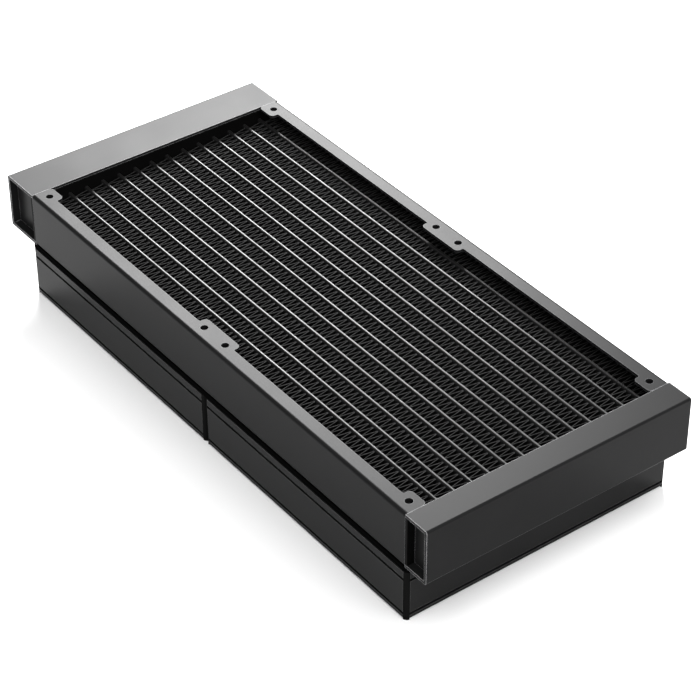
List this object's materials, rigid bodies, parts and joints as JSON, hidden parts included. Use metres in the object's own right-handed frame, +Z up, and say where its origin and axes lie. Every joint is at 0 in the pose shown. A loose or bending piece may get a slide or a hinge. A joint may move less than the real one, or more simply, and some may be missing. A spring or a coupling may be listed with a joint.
{
  "type": "liquid cooling radiator",
  "caption": "Flat black radiator with rows of finned coolant tubes between two end tanks, and a pair of square fans mounted under it to blow air up through the fins.",
  "frame": {"origin": "middle of the footprint, on the surface that the fans rest on", "axes": "+X along the length, towards the short return tank; +Y across the width; +Z up, from the fans to the radiator"},
  "size_m": [0.3114, 0.138, 0.054],
  "materials": {
    "tank_paint": "satin",
    "header_paint": "satin",
    "side_plate_paint": "satin",
    "port_metal": "satin",
    "baffle_brass": "satin",
    "tube_paint": "satin",
    "fin_paint": "satin",
    "frame_plastic": "matte",
    "cover_satin": "satin",
    "impeller_plastic": "satin",
    "rotor_steel": "satin",
    "magnet": "matte",
    "bearing_bronze": "satin",
    "stator_steel": "satin",
    "copper_wire": "gloss",
    "circuit_board": "satin",
    "gasket_foam": "matte",
    "screw_black": "satin"
  },
  "bodies": {
    "root": {"port_tank": "tank_paint", "return_tank": "tank_paint", "port_header": "header_paint", "return_header": "header_paint", "port_tank_caps": "tank_paint", "return_tank_caps": "tank_paint", "flow_baffle": "baffle_brass", "inlet_port": "port_metal", "outlet_port": "port_metal", "side_plate_front": "side_plate_paint", "side_plate_rear": "side_plate_paint", "tube_01": "tube_paint", "tube_02": "tube_paint", "tube_03": "tube_paint", "tube_04": "tube_paint", "tube_05": "tube_paint", "tube_06": "tube_paint", "tube_07": "tube_paint", "tube_08": "tube_paint", "tube_09": "tube_paint", "tube_10": "tube_paint", "tube_11": "tube_paint", "tube_12": "tube_paint", "tube_13": "tube_paint", "tube_14": "tube_paint", "fin_row_01": "fin_paint", "fin_row_02": "fin_paint", "fin_row_03": "fin_paint", "fin_row_04": "fin_paint", "fin_row_05": "fin_paint", "fin_row_06": "fin_paint", "fin_row_07": "fin_paint", "fin_row_08": "fin_paint", "fin_row_09": "fin_paint", "fin_row_10": "fin_paint", "fin_row_11": "fin_paint", "fin_row_12": "fin_paint", "fin_row_13": "fin_paint", "fin_row_14": "fin_paint", "fin_row_15": "fin_paint", "fan_1_frame": "frame_plastic", "fan_1_side_covers": "cover_satin", "fan_1_bearing": "bearing_bronze", "fan_1_stator_core": "stator_steel", "fan_2_frame": "frame_plastic", "fan_2_side_covers": "cover_satin", "fan_2_bearing": "bearing_bronze", "fan_2_stator_core": "stator_steel", "fan_windings": "copper_wire", "fan_circuit_boards": "circuit_board", "fan_gasket": "gasket_foam", "fan_screws": "screw_black"},
    "fan_1_rotor": {"fan_1_impeller": "impeller_plastic", "fan_1_rotor_yoke": "rotor_steel", "fan_1_magnet_ring": "magnet", "fan_1_shaft": "rotor_steel"},
    "fan_2_rotor": {"fan_2_impeller": "impeller_plastic", "fan_2_rotor_yoke": "rotor_steel", "fan_2_magnet_ring": "magnet", "fan_2_shaft": "rotor_steel"}
  },
  "joints": [
    {"name": "fan_1_spin", "type": "hinge", "parent": "root", "child": "fan_1_rotor", "pos_m": [-0.0654, 0, 0.0125], "axis": [0, 0, 1], "continuous": true},
    {"name": "fan_2_spin", "type": "hinge", "parent": "root", "child": "fan_2_rotor", "pos_m": [0.0746, 0, 0.0125], "axis": [0, 0, 1], "continuous": true}
  ]
}
